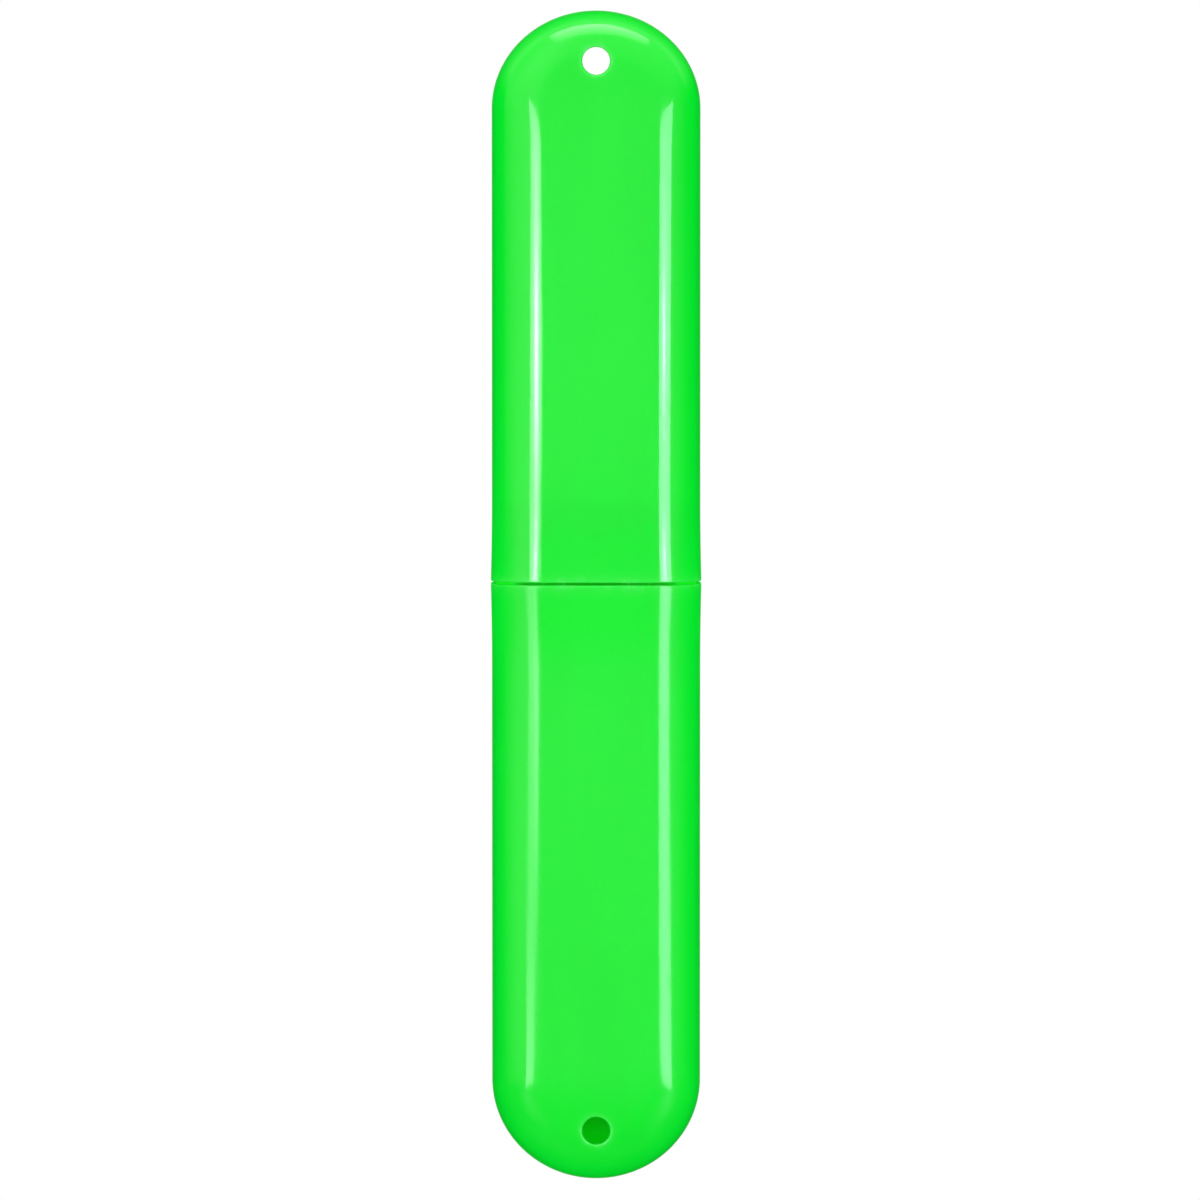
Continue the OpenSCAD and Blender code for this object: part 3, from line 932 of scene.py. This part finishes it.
# The floor's lengths along the case are from its middle
floor = {
    "size": 12.0,
    "top": -0.1 * mm,                  # just under the case, so that the two don't mix
    "light": 0.72,                     # what it throws on the sides of the case
    "endLight": 0.4,                   # and adds beyond the upper end
    "endLightSpan": (50 * mm, 110 * mm),
    "shine": 0.85,                     # what reflections see of it beyond the upper end
    "shineSpan": (15 * mm, 115 * mm),
    "shineFan": (0.2, 0.55),
    "green": 0.6,                      # a painted green glow that stands in for the light the case throws on it, as reflections see it
    "greenSpan": (19 * mm, 27 * mm),
    "greenTint": (0.01, 0.9, 0.08, 1),
    "lineEnd": 85 * mm,                # where the line ends that these are measured from
}


def lengthOf(tree, first, second):
    # Root of the sum of two squares
    squares = (calc(tree, "MULTIPLY", value, value) for value in (first, second))
    return calc(tree, "SQRT", calc(tree, "ADD", *squares))


def whiteFloor():
    # A plain floor that reads white to the camera and lights the sides softly. In reflections it is dark,
    # but for a pale fan beyond the upper end, and a painted green glow close by that stands in for the light
    # the case throws on it, which falls off with the distance from a line along the case. From below it is
    # clear, so that the back can be seen.
    corners = np.array([[-1, -1, 0], [1, -1, 0], [1, 1, 0], [-1, 1, 0]]) * floor["size"] / 2
    material = bpy.data.materials.new("white_floor")
    material.use_nodes = True
    tree = material.node_tree
    tree.nodes.clear()
    ray = addNode(tree, "LightPath").outputs
    place = addNode(tree, "SeparateXYZ", {0: addNode(tree, "TexCoord").outputs["Object"]}).outputs
    ahead = calc(tree, "SUBTRACT", place["Y"], floor["lineEnd"])
    apart = lengthOf(tree, place["X"], ahead)
    beyond = spread(tree, apart, *floor["shineSpan"], 0.0, floor["shine"])
    fan = spread(tree, calc(tree, "DIVIDE", ahead, apart), *floor["shineFan"])
    beyond = calc(tree, "MULTIPLY", beyond, fan)
    pastEnd = calc(tree, "SUBTRACT", calc(tree, "ABSOLUTE", place["Y"]), floor["lineEnd"])
    away = lengthOf(tree, place["X"], calc(tree, "MAXIMUM", pastEnd, 0.0))
    # Painted green glow close to the case, for the light that the case throws on the floor
    near = calc(tree, "SUBTRACT", 1.0, spread(tree, away, *floor["greenSpan"]))
    shine = calc(tree, "ADD", beyond, calc(tree, "MULTIPLY", near, floor["green"]))
    shine = calc(tree, "MULTIPLY", ray["Is Glossy Ray"], shine)
    most = floor["light"] + floor["endLight"]
    soft = spread(tree, place["Y"], *floor["endLightSpan"], floor["light"], most)
    soft = calc(tree, "MULTIPLY", ray["Is Diffuse Ray"], soft)
    whole = calc(tree, "ADD", calc(tree, "ADD", ray["Is Camera Ray"], soft), shine)
    paintedBounce = calc(tree, "MULTIPLY", ray["Is Glossy Ray"], near)
    colour = mixColour(tree, paintedBounce, (1, 1, 1, 1), floor["greenTint"])
    glow = addNode(tree, "Emission", {"Color": colour, "Strength": whole})
    clear = addNode(tree, "BsdfTransparent")
    below = addNode(tree, "NewGeometry").outputs["Backfacing"]
    seen = addNode(tree, "MixShader", {0: below, 1: glow.outputs["Emission"], 2: clear.outputs["BSDF"]})
    addNode(tree, "OutputMaterial", {"Surface": seen.outputs["Shader"]})
    stageMesh("floor", corners + (0, 0, floor["top"]), [(0, 1, 2, 3)], material)


panelGrid = {"steps": 160, "columns": 40, "leastWidth": 0.1 * mm}


def lightPanel(name, place):
    # A flat panel, straight between its rows: toward away + x across + y along. Its glow is level times
    # (1 + core times a bell curve across), and the lean dims it by a share that grows evenly across it.
    side, end, turn = (math.radians(place[key]) for key in ("toSide", "toEnd", "turn"))
    toward = Vector((math.sin(side) * math.cos(end), math.sin(end), math.cos(side) * math.cos(end)))
    along = Vector((math.sin(turn), math.cos(turn), 0))
    along = (along - toward * along.dot(toward)).normalized()
    across = along.cross(toward).normalized()
    rows = np.array(place["rows"])
    steps, columns = panelGrid["steps"], panelGrid["columns"]
    y = np.linspace(rows[0, 0], rows[-1, 0], steps + 1)
    low, high, level, core = (np.interp(y, rows[:, 0], rows[:, key])[:, None] for key in (1, 2, 3, 4))
    share = np.linspace(0, 1, columns + 1)
    x = low + (high - low + panelGrid["leastWidth"]) * share
    toward, along, across = (np.array(way) for way in (toward, along, across))
    points = toward * place["away"] + x[..., None] * across + y[:, None, None] * along
    row, column = np.meshgrid(np.arange(steps), np.arange(columns), indexing="ij")
    corner = (row * (columns + 1) + column).ravel()
    faces = np.stack([corner, corner + 1, corner + columns + 2, corner + columns + 1], axis=1)
    glow = level * (1 + core * np.exp(-((x - place["coreAt"]) / place["coreWidth"]) ** 2))
    glow *= 1 - place["lean"] * share
    panel = stageMesh(name, points.reshape(-1, 3), faces.tolist(), emitter(name, place["tint"]))
    layer = panel.data.attributes.new("glow", "FLOAT", "POINT")
    layer.data.foreach_set("value", glow.ravel())
    panel.visible_camera = False
    panel.visible_diffuse = False
    panel.visible_shadow = False


# Levels of the sky, and the spans of its directions over which they change
sky = {
    "ambient": 0.94,
    "endLight": 0.4,
    "endLightSpan": (0.0, 0.8),
    "overhead": 0.4,
    "leftGlow": 0.5,
    "leftSpan": (0.05, 0.45),
    "endGlow": 0.25,
    "endSpan": (0.2, 0.7),
    "lowEnd": 0.2,
    "lowSpan": (-0.22, -0.05),
    "horizon": 0.62,
    "horizonLean": 0.2,
    "horizonSpan": (-0.1, 0.6),
    "riseSpan": (0.0, 0.7),
}


def paleSky():
    # Even light on everything, and a quieter sky in reflections. At its horizon that is black at the lower
    # end and pale at the upper end, a little more so to the left, and overhead it is paler to the left and
    # to the upper end. It rises from the one to the other as a smooth step.
    world = bpy.data.worlds.new("studio")
    bpy.context.scene.world = world
    world.use_nodes = True
    tree = world.node_tree
    toward = addNode(tree, "SeparateXYZ", {0: addNode(tree, "TexCoord").outputs["Generated"]}).outputs
    lean = calc(tree, "MULTIPLY", toward["X"], sky["horizonLean"])
    ahead = calc(tree, "SUBTRACT", toward["Y"], lean)
    horizon = spread(tree, ahead, *sky["horizonSpan"], 0.0, sky["horizon"])
    leftward = calc(tree, "MULTIPLY", toward["X"], -1.0)
    toLeft = spread(tree, leftward, *sky["leftSpan"], 0.0, sky["leftGlow"])
    toEnd = spread(tree, toward["Y"], *sky["endSpan"], 0.0, sky["endGlow"])
    high = calc(tree, "ADD", calc(tree, "ADD", toLeft, toEnd), sky["overhead"])
    high = calc(tree, "MULTIPLY", high, spread(tree, toward["Y"], *sky["lowSpan"], sky["lowEnd"], 1.0))
    rise = spread(tree, toward["Z"], *sky["riseSpan"])
    seen = addNode(tree, "Mix", {0: rise, 2: horizon, 3: high}).outputs[0]
    most = sky["ambient"] + sky["endLight"]
    even = spread(tree, toward["Y"], *sky["endLightSpan"], sky["ambient"], most)
    glossy = addNode(tree, "LightPath").outputs["Is Glossy Ray"]
    level = addNode(tree, "Mix", {0: glossy, 2: even, 3: seen}).outputs[0]
    back = tree.nodes["Background"]
    back.inputs["Color"].default_value = (1, 1, 1, 1)
    tree.links.new(level, back.inputs["Strength"])


whiteFloor()
lightPanel("left_strip", leftStrip)
lightPanel("right_strip", rightStrip)
lightPanel("left_fade", leftFade)
lightPanel("right_fade", rightFade)
lightPanel("end_panel", endPanel)
paleSky()
bpy.context.scene.view_settings.view_transform = "Standard"

# The camera hangs high over the upper hole, as in the photograph, and looks at the middle of the case
cameraPlace = {
    "stand": (0.68 * mm, 95 * mm, 1800 * mm),
    "aim": (0.68 * mm, -0.79 * mm, 10 * mm),
    "frameCovers": 210.61 * mm,
    "sensor": 36.0,
}


def hangCamera():
    # Focal length = sensor times distance over what the frame covers at the aim
    stand, aim = Vector(cameraPlace["stand"]), Vector(cameraPlace["aim"])
    lens = bpy.data.cameras.new("camera")
    lens.sensor_width = cameraPlace["sensor"]
    lens.lens = cameraPlace["sensor"] * (stand - aim).length / cameraPlace["frameCovers"]
    camera = bpy.data.objects.new("camera", lens)
    camera.location = stand
    backward = (stand - aim).normalized()
    upward = backward.cross(Vector((1, 0, 0)))
    camera.rotation_mode = "QUATERNION"
    camera.rotation_quaternion = Matrix((Vector((1, 0, 0)), upward, backward)).transposed().to_quaternion()
    bpy.context.scene.collection.objects.link(camera)
    bpy.context.scene.camera = camera


hangCamera()
print("studio set")
